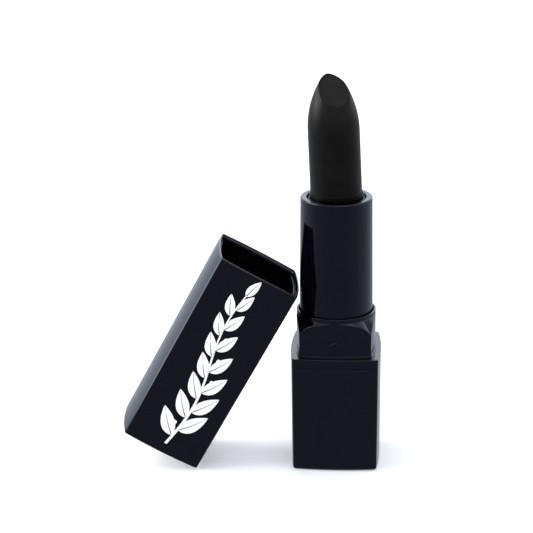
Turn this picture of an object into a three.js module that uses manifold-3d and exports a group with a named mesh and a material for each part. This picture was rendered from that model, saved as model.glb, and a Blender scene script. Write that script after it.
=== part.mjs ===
// A square lipstick case, standing with its bullet fully raised and its cap off.
// Millimetres, +Z up. The origin is the centre of the base's foot, on the surface it stands on.
// The case's front faces -Y. The cap stands on its closed end's right edge, open end up, and
// leans to the right until its rim nearly touches the round sleeve.

import * as THREE from 'three';
import { mergeVertices } from 'three/addons/utils/BufferGeometryUtils.js';
import Module from 'manifold-3d';

const wasm = await Module();
wasm.setup();

// ---------------------------------------------------------------- driving dimensions

const DEG = Math.PI / 180;
const SEGMENTS = 48;            // facets round every turned piece

// The half width of a square piece is measured at the middle of its sides, which swell outwards by
// the bow. Its corners stand that much further in, and have a small radius.
const BASE = {
  footHalf: 10.55,              // half width at the foot
  ledgeHalf: 10.73,             // half width at the ledge that the cap closes on
  bow: 0.6,
  ledgeZ: 28.1,
  partingZ: 25.8,               // top of the outer shell, where the collar's flange begins
  partingGap: 0.12,
  corner: 0.5,                  // radius of the upright edges
  insideCorner: 0.4,
  footFillet: 0.9,
  edge: 0.1,                    // bevel along the top edge
  wall: 1.0,
  floor: 1.2,
};

const COLLAR = {
  skirtZ: 24.8,                 // lowest point, inside the outer shell
  skirtClearance: 0.12,
  skirtCorner: 0.3,
  flangeEdge: 0.15,             // bevel along the flange's edges
  plugHalf: 9.4,                // the square that the cap grips
  plugCorner: 0.4,
  plugBow: 0.95,
  plinthHalf: 9.58,
  plinthHeight: 0.45,
  plinthEdge: 0.1,
  ringRadius: 9.42,
  ringHeight: 1.05,
  ringFillet: 0.12,
  topZ: 37.65,
  bore: 8.95,
  shoulderSlope: 0.617,         // fall of the shoulders per millimetre outwards
  bumpRadius: 1.17,
  bumpHeight: 0.2,
  bumpDepth: 0.15,              // how far the bump's solid reaches into the plug
  bumpZ: 30.9,
};

const SLEEVE = {
  flangeRadius: 9.35,
  flangeLow: 23.6,
  flangeHigh: 24.6,
  lowRadius: 8.77,
  topRadius: 8.45,
  rimZ: 65.15,
  rimFillet: 0.3,
  innerRadius: 7.95,
  lipRadius: 7.0,               // the rim turns inwards to this radius
  lipDepth: 1.2,
};

const TRAVEL = 30;              // how far the bullet is wound down
const TWIST = 450 * DEG;        // turn of the sleeve that winds it down

const CAM = {
  low: 23.15,
  high: 63.55,
  outer: 7.9,
  inner: 7.32,
  groove: 7.7,                  // how deep the grooves are cut, as a radius
  grooveHeight: 2.1,
  overrun: 12 * DEG,            // spare groove beyond each end of the lug's travel
};

const FORK = {
  floorLow: 21.2,
  flangeHigh: 22.3,
  floorHigh: 22.7,
  high: 63.45,
  flangeRadius: 7.9,
  outer: 7.25,
  inner: 6.85,
  slotWidth: 1.7,
  slotLow: 24.55,
  slotHigh: 57.25,
  keyHalf: 4.0,                 // the square foot that stops the tube from turning
  keyLow: 12.5,
};

const CUP = {
  low: 54.35,
  brimZ: 64.9,
  floorZ: 55.85,
  bodyRadius: 6.55,
  brimRadius: 6.75,
  bandHeight: 5.0,              // the wider band below the brim
  bandStep: 0.6,
  brimFillet: 0.5,
  footBevel: 0.35,
  inner: 6.15,
  lugRadius: 0.7,
  lugReach: 7.62,
  lugZ: 55.85,
};

const BULLET = {
  radius: 6.05,
  low: 56.15,
  footBevel: 0.3,
  noseZ: 80.55,                 // where the straight side ends
  noseLength: 16.1,
  nosePower: 2.16,
  noseFullness: 1.0,
  cutZ: 92.0,                   // height of the slant cut on the axis
  cutSlope: 42.4 * DEG,
  cutTurn: 17.5 * DEG,          // the cut falls towards the front, turned this far to the right
  lean: 0.042,                  // the soft bullet stands this much askew to the left, per millimetre
};

const INSERT = {
  low: 6.3,
  high: 23.2,
  half: 8.95,
  corner: 0.4,
  bore: 8.2,
  seatGap: 0.15,                // under the fork's flange
  socketGap: 0.2,               // under the fork's square foot
  keyClearance: 0.15,
  skirtWall: 1.3,
  skirtZ: 10.5,
};

const WEIGHT = { low: 1.55, high: 5.9, half: 8.7, corner: 0.8, chamfer: 0.4 };

const DRAG_RING = { centreRadius: 7.62, wireRadius: 0.33, z: 22.72 };

const CAP = {
  length: 49.45,
  closedHalf: 10.38,
  mouthHalf: 10.73,
  bow: 0.65,
  corner: 0.6,
  insideCorner: 0.35,
  edgeFillet: 0.35,
  rimEdge: 0.1,                 // bevel round the mouth
  wall: 0.6,
  endWall: 1.0,
  linerGap: 0.1,
  linerCorner: 0.3,
  linerWall: 0.35,
  linerInset: 1.0,              // the liner stops this far inside the mouth
  linerEndGap: 0.35,
  linerEndWall: 0.6,
  tilt: 29 * DEG,               // lean to the right
  yaw: 3.74 * DEG,
  standX: -33.0,                // the closed end's right edge, at its middle
  standY: -1.46,
  standGap: 0.12,               // the edge hangs clear, so the foot alone carries the case
};

// ---------------------------------------------------------------- finishes

function plastic(color, roughness) {
  return new THREE.MeshStandardMaterial({ color, roughness, metalness: 0 });
}

const glossBlack = () => plastic(0x08080d, 0.12);
const innerBlack = () => plastic(0x101014, 0.45);
const naturalWhite = () => plastic(0xe8e6df, 0.5);
const wax = () => plastic(0x161616, 0.55);
const rubber = () => plastic(0x1c1c1c, 0.85);
const steel = () => new THREE.MeshStandardMaterial({ color: 0x9a9a98, roughness: 0.4, metalness: 1 });

// ---------------------------------------------------------------- solids and cuts

// Drops normals and uvs, joins shared corners and drops the collapsed triangles.
function welded(geometry) {
  const bare = geometry.clone();
  bare.deleteAttribute('normal');
  bare.deleteAttribute('uv');
  const joined = mergeVertices(bare, 1e-4);
  const index = joined.getIndex().array;
  const kept = [];
  for (let i = 0; i < index.length; i += 3) {
    const [a, b, c] = [index[i], index[i + 1], index[i + 2]];
    if (a !== b && b !== c && c !== a) kept.push(a, b, c);
  }
  joined.setIndex(kept);
  return joined;
}

function toSolid(geometry) {
  const closed = welded(geometry);
  const vertProperties = new Float32Array(closed.getAttribute('position').array);
  const triVerts = new Uint32Array(closed.getIndex().array);
  return new wasm.Manifold(new wasm.Mesh({ numProp: 3, vertProperties, triVerts }));
}

function toGeometry(solid) {
  const { vertProperties, triVerts } = solid.getMesh();
  const geometry = new THREE.BufferGeometry();
  geometry.setAttribute('position', new THREE.BufferAttribute(vertProperties, 3));
  geometry.setIndex(new THREE.BufferAttribute(triVerts, 1));
  return geometry;
}

// A square outline, anticlockwise seen from above. Its sides swell outwards by the bow, and run
// smoothly into the rounded corners.
function squareSection({ half, corner, bow = 0, z }, sideSteps = 6, cornerSteps = 3) {
  const passes = 8;             // enough for the slope where side and corner meet to settle
  let slope = 0;
  let reach = half;
  let centre = half;
  for (let pass = 0; pass < passes; pass++) {
    centre = half - bow - corner * Math.cos(slope);
    reach = centre + corner * Math.sin(slope);
    slope = Math.atan(2 * bow / reach);
  }
  const side = [];
  for (let i = 0; i < sideSteps; i++) {
    const y = reach * (2 * i / sideSteps - 1);
    side.push([half - bow * (y / reach) ** 2, y]);
  }
  for (let i = 0; i < cornerSteps; i++) {
    const angle = slope + (Math.PI / 2 - 2 * slope) * i / cornerSteps;
    side.push([centre + corner * Math.cos(angle), centre + corner * Math.sin(angle)]);
  }
  const points = [];
  for (let quarter = 0; quarter < 4; quarter++) {
    const cos = Math.round(Math.cos(quarter * Math.PI / 2));
    const sin = Math.round(Math.sin(quarter * Math.PI / 2));
    for (const [x, y] of side) points.push([cos * x - sin * y, sin * x + cos * y, z]);
  }
  return points;
}

// A closed body through square sections. It runs up the outside and, on a hollow piece, on down
// the inside, so that its last section is the hollow's floor.
function squareLoft(sections) {
  const rings = sections.map((section) => squareSection(section));
  const count = rings[0].length;
  const corners = rings.flat();
  const bottom = corners.push([0, 0, sections[0].z]) - 1;
  const top = corners.push([0, 0, sections[sections.length - 1].z]) - 1;
  const faces = [];
  for (let i = 0; i < count; i++) {
    const next = (i + 1) % count;
    faces.push(bottom, next, i);
    for (let ring = 0; ring + 1 < rings.length; ring++) {
      const low = ring * count;
      const high = low + count;
      faces.push(low + i, low + next, high + next);
      faces.push(low + i, high + next, high + i);
    }
    const last = (rings.length - 1) * count;
    faces.push(top, last + i, last + next);
  }
  const geometry = new THREE.BufferGeometry();
  geometry.setAttribute('position', new THREE.Float32BufferAttribute(corners.flat(), 3));
  geometry.setIndex(faces);
  return geometry;
}

// A turned piece from [radius, height] points that go up the outside and down the inside.
function turned(profile) {
  const points = profile.map(([radius, z]) => new THREE.Vector2(radius, z));
  return new THREE.LatheGeometry(points, SEGMENTS).rotateX(Math.PI / 2);
}

// Points of a quarter round, from one angle to another, in degrees.
function round(centreRadius, centreZ, radius, from, to, steps = 3) {
  const points = [];
  for (let i = 0; i <= steps; i++) {
    const angle = (from + (to - from) * i / steps) * DEG;
    points.push([centreRadius + radius * Math.cos(angle), centreZ + radius * Math.sin(angle)]);
  }
  return points;
}

// The fillet that a square piece stands on: sections whose width grows as a quarter round.
function footFillet({ half, corner, bow }, fillet, steps = 3) {
  const quarter = round(half - fillet, fillet, fillet, -90, 0, steps);
  return quarter.map(([width, z]) => ({ half: width, corner, bow, z }));
}

function box(width, depth, height, x, y, z) {
  return new THREE.BoxGeometry(width, depth, height).translate(x, y, z);
}

// ---------------------------------------------------------------- base

function baseHalfAt(z) {
  return BASE.footHalf + (BASE.ledgeHalf - BASE.footHalf) * z / BASE.ledgeZ;
}

function baseShell() {
  const { corner, insideCorner, bow, footFillet: fillet, edge, wall, floor, partingZ } = BASE;
  return squareLoft([
    ...footFillet({ half: baseHalfAt(0), corner, bow }, fillet),
    { half: baseHalfAt(partingZ), corner, bow, z: partingZ - edge },
    { half: baseHalfAt(partingZ) - edge, corner, bow, z: partingZ },
    { half: baseHalfAt(partingZ) - wall, corner: insideCorner, bow, z: partingZ },
    { half: baseHalfAt(floor) - wall, corner: insideCorner, bow, z: floor },
  ]);
}

function baseWeight() {
  const { low, high, half, corner, chamfer } = WEIGHT;
  return squareLoft([
    { half: half - chamfer, corner, z: low },
    { half, corner, z: low + chamfer },
    { half, corner, z: high - chamfer },
    { half: half - chamfer, corner, z: high },
  ]);
}

// The inner block: a round seat and a square socket for the fork's foot, and a hollow skirt below.
function baseInsert() {
  const { low, high, half, corner, bore, seatGap, socketGap, keyClearance, skirtWall, skirtZ } = INSERT;
  const key = FORK.keyHalf + keyClearance;
  const seatZ = FORK.floorLow - seatGap;
  const socketZ = FORK.keyLow - socketGap;
  const block = toSolid(squareLoft([{ half, corner, z: low }, { half, corner, z: high }]));
  const seat = toSolid(turned([[0, seatZ], [bore, seatZ], [bore, high + 1], [0, high + 1]]));
  const socket = toSolid(box(2 * key, 2 * key, high - socketZ, 0, 0, (high + socketZ) / 2));
  const inner = half - skirtWall;
  const skirt = toSolid(box(2 * inner, 2 * inner, skirtZ - low + 1, 0, 0, (skirtZ + low - 1) / 2));
  return toGeometry(block.subtract(seat).subtract(socket).subtract(skirt));
}

// ---------------------------------------------------------------- collar

// The square outside of the collar: skirt, flange with its ledge, plinth and plug.
function collarOutside() {
  const { skirtZ, skirtClearance, skirtCorner, flangeEdge, topZ } = COLLAR;
  const { plugHalf, plugCorner, plugBow, plinthHalf, plinthHeight, plinthEdge } = COLLAR;
  const { corner, bow, wall, ledgeZ, partingZ, partingGap } = BASE;
  const skirtHalf = baseHalfAt(skirtZ) - wall - skirtClearance;
  const flangeZ = partingZ + partingGap;
  const plinthZ = ledgeZ + plinthHeight;
  return squareLoft([
    { half: skirtHalf, corner: skirtCorner, bow, z: skirtZ },
    { half: skirtHalf, corner: skirtCorner, bow, z: flangeZ },
    { half: baseHalfAt(flangeZ) - flangeEdge, corner, bow, z: flangeZ },
    { half: baseHalfAt(flangeZ), corner, bow, z: flangeZ + flangeEdge },
    { half: baseHalfAt(ledgeZ), corner, bow, z: ledgeZ - flangeEdge },
    { half: baseHalfAt(ledgeZ) - flangeEdge, corner, bow, z: ledgeZ },
    { half: plinthHalf, corner: plugCorner, bow: plugBow, z: ledgeZ },
    { half: plinthHalf, corner: plugCorner, bow: plugBow, z: plinthZ - plinthEdge },
    { half: plinthHalf - plinthEdge, corner: plugCorner, bow: plugBow, z: plinthZ },
    { half: plugHalf, corner: plugCorner, bow: plugBow, z: plinthZ },
    { half: plugHalf, corner: plugCorner, bow: plugBow, z: topZ },
  ]);
}

// A round envelope. Its cone meets the plug's faces in arches, and its top is the ring.
function collarEnvelope() {
  const { ringRadius, ringHeight, ringFillet, topZ, shoulderSlope, skirtZ } = COLLAR;
  const outer = 16;             // beyond every corner
  const ringZ = topZ - ringHeight;
  return turned([
    [0, skirtZ - 1],
    [outer, skirtZ - 1],
    [outer, ringZ - (outer - ringRadius) * shoulderSlope],
    [ringRadius, ringZ],
    ...round(ringRadius - ringFillet, topZ - ringFillet, ringFillet, 0, 90),
    [0, topZ],
  ]);
}

// A shallow dome on the plug's front or back face, which the cap clicks over.
function snapBump(side) {
  const { bumpRadius, bumpHeight, bumpDepth, bumpZ, plugHalf } = COLLAR;
  const sphere = (bumpRadius ** 2 + bumpHeight ** 2) / (2 * bumpHeight);
  const reach = Math.asin(bumpRadius / sphere) / DEG;
  const dome = round(0, bumpHeight - sphere, sphere, 90 - reach, 90);
  dome[dome.length - 1] = [0, bumpHeight];
  return turned([[0, -bumpDepth], [bumpRadius, -bumpDepth], ...dome])
    .rotateX(-side * Math.PI / 2)
    .translate(0, side * plugHalf, bumpZ);
}

function collar() {
  const { bore, skirtZ, topZ } = COLLAR;
  const hole = toSolid(turned([[0, skirtZ - 1], [bore, skirtZ - 1], [bore, topZ + 1], [0, topZ + 1]]));
  const body = toSolid(collarOutside())
    .intersect(toSolid(collarEnvelope()))
    .subtract(hole)
    .add(toSolid(snapBump(-1)))
    .add(toSolid(snapBump(1)));
  return toGeometry(body);
}

// ---------------------------------------------------------------- winding mechanism

function sleeve() {
  const { flangeRadius, flangeLow, flangeHigh, lowRadius, topRadius, rimZ, rimFillet } = SLEEVE;
  const { innerRadius, lipRadius, lipDepth } = SLEEVE;
  return turned([
    [innerRadius, flangeLow],
    [flangeRadius, flangeLow],
    [flangeRadius, flangeHigh],
    [lowRadius, flangeHigh],
    ...round(topRadius - rimFillet, rimZ - rimFillet, rimFillet, 0, 90),
    ...round(lipRadius + rimFillet, rimZ - rimFillet, rimFillet, 90, 180),
    [lipRadius, rimZ - lipDepth],
    [innerRadius, rimZ - lipDepth],
    [innerRadius, flangeLow],
  ]);
}

// The bar that cuts one helical groove. At rest the lug sits near its upper end.
function grooveBar(startAngle) {
  const steps = 42;
  const { groove, grooveHeight, overrun } = CAM;
  const inner = FORK.inner;
  const half = grooveHeight / 2;
  const corners = [];
  const faces = [];
  for (let i = 0; i <= steps; i++) {
    const turn = -overrun + (TWIST + 2 * overrun) * i / steps;
    const z = CUP.lugZ - TRAVEL * turn / TWIST;
    const angle = startAngle - turn;
    for (const [radius, rise] of [[inner, -half], [groove, -half], [groove, half], [inner, half]]) {
      corners.push(radius * Math.cos(angle), radius * Math.sin(angle), z + rise);
    }
  }
  for (let i = 0; i < steps; i++) {
    for (let side = 0; side < 4; side++) {
      const a = 4 * i + side;
      const b = 4 * i + (side + 1) % 4;
      faces.push(a, b, b + 4, a, b + 4, a + 4);
    }
  }
  const last = 4 * steps;
  faces.push(0, 3, 2, 0, 2, 1, last, last + 1, last + 2, last, last + 2, last + 3);
  const geometry = new THREE.BufferGeometry();
  geometry.setAttribute('position', new THREE.Float32BufferAttribute(corners, 3));
  geometry.setIndex(faces);
  return geometry;
}

// The tube that turns with the sleeve. Its two grooves drive the cup's lugs up and down.
function spiralCam() {
  const { low, high, outer, inner } = CAM;
  const tube = toSolid(turned([[inner, low], [outer, low], [outer, high], [inner, high], [inner, low]]));
  return toGeometry(tube.subtract(toSolid(grooveBar(90 * DEG))).subtract(toSolid(grooveBar(270 * DEG))));
}

// The slotted tube that keeps the cup from turning, and the square foot that holds it in the base.
function fork() {
  const { floorLow, flangeHigh, floorHigh, high, flangeRadius, outer, inner } = FORK;
  const { slotWidth, slotLow, slotHigh, keyHalf, keyLow } = FORK;
  const tube = toSolid(turned([
    [0, floorLow],
    [flangeRadius, floorLow],
    [flangeRadius, flangeHigh],
    [outer, flangeHigh],
    [outer, high],
    [inner, high],
    [inner, floorHigh],
    [0, floorHigh],
  ]));
  const key = toSolid(box(2 * keyHalf, 2 * keyHalf, floorHigh - keyLow, 0, 0, (floorHigh + keyLow) / 2));
  const slots = toSolid(box(slotWidth, 3 * outer, slotHigh - slotLow, 0, 0, (slotHigh + slotLow) / 2));
  return toGeometry(tube.add(key).subtract(slots));
}

function dragRing() {
  const { centreRadius, wireRadius, z } = DRAG_RING;
  const wireSides = 8;
  const section = round(centreRadius, z, wireRadius, -90, 270, wireSides);
  section[section.length - 1] = section[0];
  return turned(section);
}

// The cup that grips the bullet, with a lug on each side.
function cup() {
  const { low, brimZ, floorZ, bodyRadius, brimRadius, bandHeight, bandStep } = CUP;
  const { brimFillet, footBevel, inner, lugRadius, lugReach, lugZ } = CUP;
  const body = toSolid(turned([
    [0, low],
    [bodyRadius - footBevel, low],
    [bodyRadius, low + footBevel],
    [bodyRadius, brimZ - bandHeight - bandStep],
    [brimRadius, brimZ - bandHeight],
    ...round(brimRadius - brimFillet, brimZ - brimFillet, brimFillet, 0, 90),
    [inner, brimZ],
    [inner, floorZ],
    [0, floorZ],
  ]));
  const lugSides = 16;
  const rod = new THREE.CylinderGeometry(lugRadius, lugRadius, 2 * lugReach, lugSides);
  const lugs = toSolid(rod.translate(0, 0, lugZ));
  const well = toSolid(turned([[0, floorZ], [inner, floorZ], [inner, brimZ], [0, brimZ]]));
  return toGeometry(body.add(lugs.subtract(well)));
}

// ---------------------------------------------------------------- bullet

function noseRadius(t) {
  return BULLET.radius * (1 - t ** BULLET.nosePower) ** BULLET.noseFullness;
}

// Everything above the sloping plane of the cut.
function cutBlock() {
  const size = 60;              // beyond the whole bullet
  return box(size, size, size, 0, 0, size / 2)
    .rotateX(BULLET.cutSlope)
    .rotateZ(BULLET.cutTurn)
    .translate(0, 0, BULLET.cutZ);
}

// Above the cup's brim the soft bullet leans slightly to the left.
function leanBullet(geometry) {
  const position = geometry.getAttribute('position');
  for (let i = 0; i < position.count; i++) {
    const rise = Math.max(position.getZ(i) - CUP.brimZ, 0);
    position.setX(i, position.getX(i) - rise * BULLET.lean);
  }
  return geometry;
}

function bullet() {
  const { radius, low, footBevel, noseZ, noseLength } = BULLET;
  const steps = 12;
  const nose = [];
  for (let i = 1; i < steps; i++) {
    nose.push([noseRadius(i / steps), noseZ + noseLength * i / steps]);
  }
  const body = toSolid(turned([
    [0, low],
    [radius - footBevel, low],
    [radius, low + footBevel],
    [radius, CUP.brimZ],
    [radius, noseZ],
    ...nose,
    [0, noseZ + noseLength],
  ]));
  return leanBullet(toGeometry(body.subtract(toSolid(cutBlock()))));
}

// ---------------------------------------------------------------- cap

function capHalfAt(z) {
  return CAP.closedHalf + (CAP.mouthHalf - CAP.closedHalf) * z / CAP.length;
}

function capShell() {
  const { length, corner, insideCorner, bow, edgeFillet, rimEdge, wall, endWall } = CAP;
  const filletSteps = 2;
  return squareLoft([
    ...footFillet({ half: capHalfAt(0), corner, bow }, edgeFillet, filletSteps),
    { half: capHalfAt(length), corner, bow, z: length - rimEdge },
    { half: capHalfAt(length) - rimEdge, corner, bow, z: length },
    { half: capHalfAt(length) - wall, corner: insideCorner, bow, z: length },
    { half: capHalfAt(endWall) - wall, corner: insideCorner, bow, z: endWall },
  ]);
}

function capLiner() {
  const { length, bow, wall, endWall, linerGap, linerCorner, linerWall, linerInset } = CAP;
  const low = endWall + CAP.linerEndGap;
  const high = length - linerInset;
  const outside = wall + linerGap;
  const inside = outside + linerWall;
  return squareLoft([
    { half: capHalfAt(low) - outside, corner: linerCorner, bow, z: low },
    { half: capHalfAt(high) - outside, corner: linerCorner, bow, z: high },
    { half: capHalfAt(high) - inside, corner: linerCorner, bow, z: high },
    { half: capHalfAt(low) - inside, corner: linerCorner, bow, z: low + CAP.linerEndWall },
  ]);
}

// ---------------------------------------------------------------- assembly

function named(name, geometry, material) {
  const mesh = new THREE.Mesh(geometry, material);
  mesh.name = name;
  return mesh;
}

const lipstick = new THREE.Group();

lipstick.add(
  named('base_shell', baseShell(), glossBlack()),
  named('base_weight', baseWeight(), steel()),
  named('base_insert', baseInsert(), innerBlack()),
  named('collar', collar(), glossBlack()),
  named('sleeve', sleeve(), glossBlack()),
  named('spiral_cam', spiralCam(), naturalWhite()),
  named('fork', fork(), innerBlack()),
  named('drag_ring', dragRing(), rubber()),
  named('cup', cup(), innerBlack()),
  named('bullet', bullet(), wax()),
);

// The cap is tilted about the edge that it stands on, then set down beside the case.
const cap = new THREE.Group();
cap.add(
  named('cap_shell', capShell(), glossBlack()),
  named('cap_liner', capLiner(), innerBlack()),
);
cap.position.x = -CAP.closedHalf;

const capLean = new THREE.Group();
capLean.rotation.y = CAP.tilt;
capLean.add(cap);

const capStand = new THREE.Group();
const filletDrop = CAP.edgeFillet * (1 - Math.sin(CAP.tilt) - Math.cos(CAP.tilt));
capStand.position.set(CAP.standX, CAP.standY, filletDrop + CAP.standGap);
capStand.rotation.z = CAP.yaw;
capStand.add(capLean);
lipstick.add(capStand);

export default lipstick;
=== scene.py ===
# %% [markdown]
# # A square lipstick case
# The case stands with its bullet wound up, and its cap leans on it. The exact solids come from the
# CAD model, which is loaded as a fixed frame. This script builds the finer surfaces that the eye sees,
# and gives every piece its finish. The frame's own box is kept.

# %% Load the frame
import math

import bmesh
import bpy
from mathutils import Matrix, Vector


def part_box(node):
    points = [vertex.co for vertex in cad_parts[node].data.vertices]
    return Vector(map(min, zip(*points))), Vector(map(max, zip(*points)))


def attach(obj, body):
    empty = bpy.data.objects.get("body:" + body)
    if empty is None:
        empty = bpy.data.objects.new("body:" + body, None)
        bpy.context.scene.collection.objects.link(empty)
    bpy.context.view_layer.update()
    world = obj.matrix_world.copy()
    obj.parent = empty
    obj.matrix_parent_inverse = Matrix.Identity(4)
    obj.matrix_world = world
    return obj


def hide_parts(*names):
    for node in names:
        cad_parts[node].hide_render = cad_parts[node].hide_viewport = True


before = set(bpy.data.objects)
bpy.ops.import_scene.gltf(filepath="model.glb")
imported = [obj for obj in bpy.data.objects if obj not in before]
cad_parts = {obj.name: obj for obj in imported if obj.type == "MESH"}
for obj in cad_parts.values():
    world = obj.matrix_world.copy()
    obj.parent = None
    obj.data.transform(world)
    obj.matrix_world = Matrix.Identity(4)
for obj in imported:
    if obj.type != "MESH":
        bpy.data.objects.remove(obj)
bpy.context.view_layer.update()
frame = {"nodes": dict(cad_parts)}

# %% [markdown]
# ## Millimetres
# Blender works in metres here, but a lipstick is drawn in millimetres. All shapes below are written in
# millimetres, and one factor turns them into metres when a mesh is made. The main heights come from
# the boxes of the CAD nodes, so a fine piece always sits where its plain solid does.

# %% Sizes taken from the frame
MM = 0.001


def box_mm(node):
    """The lowest and highest corner of a CAD node, in millimetres."""
    low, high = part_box(node)
    return low / MM, high / MM


PARTING_Z = box_mm("base_shell")[1].z
SKIRT_Z = box_mm("collar")[0].z
COLLAR_TOP = box_mm("collar")[1].z
LEDGE_HALF = box_mm("collar")[1].x
SLEEVE_LOW = box_mm("sleeve")[0].z
RIM_Z = box_mm("sleeve")[1].z
CUP_LOW = box_mm("cup")[0].z
BRIM_Z = box_mm("cup")[1].z
BULLET_LOW = box_mm("bullet")[0].z
print(f"parting line {PARTING_Z:.2f}, collar top {COLLAR_TOP:.2f}, rim {RIM_Z:.2f}, brim {BRIM_Z:.2f}")

# %% [markdown]
# ## Shapes from rings
# Most of the case is a stack of outlines, each a little higher or a little further in than the last.
# A ring is one outline at one height. Joining equal rings with four-sided faces gives a clean skin, and
# it lets every edge be a true small round instead of a sharp corner, so that light can run along it.

# %% Ring helpers
CORNER_STEPS = 8
SIDE_STEPS = 24
CORNER_ROUNDS = 8


def corner_place(half, corner, bow):
    """Where a bowed side meets its round corner: its slope there, the corner's centre, its reach."""
    slope = 0.0
    for _ in range(CORNER_ROUNDS):
        centre = half - bow - corner * math.cos(slope)
        reach = centre + corner * math.sin(slope)
        slope = math.atan(2 * bow / reach)
    return slope, centre, reach


def square_outline(half, corner, bow=0.0):
    """Points round a square with rounded corners. Its sides swell outwards by bow at their middles."""
    slope, centre, reach = corner_place(half, corner, bow)
    side = []
    for i in range(SIDE_STEPS):
        y = reach * (2 * i / SIDE_STEPS - 1)
        side.append((half - bow * (y / reach) ** 2, y))
    for i in range(CORNER_STEPS):
        angle = slope + (math.pi / 2 - 2 * slope) * i / CORNER_STEPS
        side.append((centre + corner * math.cos(angle), centre + corner * math.sin(angle)))
    points = []
    for c, s in ((1, 0), (0, 1), (-1, 0), (0, -1)):
        points += [(c * x - s * y, s * x + c * y) for x, y in side]
    return points


def square_rings(sections, bow=0.0):
    """One ring for each (half width, corner radius, height)."""
    return [[(x, y, z) for x, y in square_outline(half, corner, bow)] for half, corner, z in sections]


print("points round a square ring:", 4 * (SIDE_STEPS + CORNER_STEPS))

# %% [markdown]
# Round pieces are turned: a profile of radius and height goes once round the axis. Edges in a profile
# are arcs, or a soft curve that is pulled towards the sharp corner it replaces.

# %% Turned rings and curves
TURN_STEPS = 144


def turned_rings(profile, steps=TURN_STEPS):
    """One round ring for each (radius, height) of a profile."""
    angles = [2 * math.pi * i / steps for i in range(steps)]
    return [[(r * math.cos(a), r * math.sin(a), z) for a in angles] for r, z in profile]


def arc(centre_r, centre_z, radius, start, end, steps=5):
    """Points of an arc in a profile, between two angles in degrees."""
    angles = [math.radians(start + (end - start) * i / steps) for i in range(steps + 1)]
    return [(centre_r + radius * math.cos(a), centre_z + radius * math.sin(a)) for a in angles]


def curve_between(start, corner, end, steps=5):
    """A smooth curve from start to end that is pulled towards corner."""
    points = []
    for i in range(steps + 1):
        t = i / steps
        weights = ((1 - t) ** 2, 2 * t * (1 - t), t * t)
        points.append(tuple(
            weights[0] * a + weights[1] * b + weights[2] * c for a, b, c in zip(start, corner, end)
        ))
    return points


print("points round a turned ring:", TURN_STEPS)

# %% [markdown]
# Neighbouring rings are joined with four-sided faces. The first and last ring are filled, unless the
# rings run round in a loop, as in a tube that has an outside, a rim and a bore.

# %% Skin over rings


def skin(rings, closed_loop=False):
    """Vertices and faces that join the rings. The ends are filled, or joined to each other."""
    count = len(rings[0])
    vertices = [point for ring in rings for point in ring]
    faces = []
    spans = len(rings) if closed_loop else len(rings) - 1
    for level in range(spans):
        low, high = level * count, (level + 1) % len(rings) * count
        for i in range(count):
            j = (i + 1) % count
            faces.append((low + i, low + j, high + j, high + i))
    if not closed_loop:
        faces.append(tuple(reversed(range(count))))
        faces.append(tuple((len(rings) - 1) * count + i for i in range(count)))
    return vertices, faces


print("faces of a square tube with two rings:", len(skin(square_rings([(1, 0.1, 0), (1, 0.1, 1)]))[1]))

# %% [markdown]
# ## From skin to piece
# A piece is one named object. Its faces are shaded smooth, and edges steeper than a set angle stay
# sharp. The Weighted Normal modifier lets the large flat faces decide the shading, so that a face looks
# flat right up to its rounded edge. Each piece rides on a body of the frame, and hides the plain solid.

# %% Piece helper
SHARP_ANGLE = math.radians(38)
WELD = 0.0004


def make_piece(name, body, parts, sharp=SHARP_ANGLE, placement=None):
    """Builds one object from (vertices, faces) parts in millimetres, and lets it ride on a body."""
    bm = bmesh.new()
    for vertices, faces in parts:
        made = [bm.verts.new(v) for v in vertices]
        for face in faces:
            bm.faces.new([made[i] for i in face])
    bmesh.ops.remove_doubles(bm, verts=bm.verts, dist=WELD)
    bmesh.ops.dissolve_degenerate(bm, edges=bm.edges, dist=WELD)
    bmesh.ops.recalc_face_normals(bm, faces=bm.faces)
    for face in bm.faces:
        face.smooth = True
    for edge in bm.edges:
        edge.smooth = not (edge.is_manifold and edge.calc_face_angle() > sharp)
    if placement is not None:
        bmesh.ops.transform(bm, matrix=placement, verts=bm.verts)
    bmesh.ops.scale(bm, vec=(MM, MM, MM), verts=bm.verts)
    mesh = bpy.data.meshes.new(name)
    bm.to_mesh(mesh)
    bm.free()
    piece = bpy.data.objects.new(name, mesh)
    bpy.context.scene.collection.objects.link(piece)
    normals = piece.modifiers.new("even_normals", "WEIGHTED_NORMAL")
    normals.keep_sharp = True
    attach(piece, body)
    print(f"{name}: {len(mesh.vertices)} vertices, {len(mesh.polygons)} faces")
    return piece


# %% [markdown]
# ## The base shell
# The base is a square cup of glossy plastic. It widens slightly towards the top, as a moulding must to
# leave its tool. The foot has a round edge, and the upright edges have a smaller one. The four sides
# swell outwards by about half a millimetre, so the reflections in them bend and fade to the edges.

# %% Base shell
FOOT_HALF = 10.55
LEDGE_Z = 28.1
BASE_CORNER = 0.5
INNER_CORNER = 0.4
BASE_BOW = 0.6
BASE_WALL = 1.0
BASE_FLOOR = 1.2
FOOT_ROUND = 0.9
SEAM_ROUND = 0.07


def base_half(z):
    """Half width of the base at a height."""
    return FOOT_HALF + (LEDGE_HALF - FOOT_HALF) * z / LEDGE_Z


def foot_sections(half, corner, radius, steps=8):
    """Sections of a rounded foot whose widest point is half."""
    points = arc(half - radius, radius, radius, -90, 0, steps)
    return [(h, corner, z) for h, z in points]


def rim_sections(half, corner, radius, z, steps=4):
    """Sections of a rounded edge at the top of an outer wall."""
    return [(h, corner, height) for h, height in arc(half - radius, z - radius, radius, 0, 90, steps)]


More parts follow.
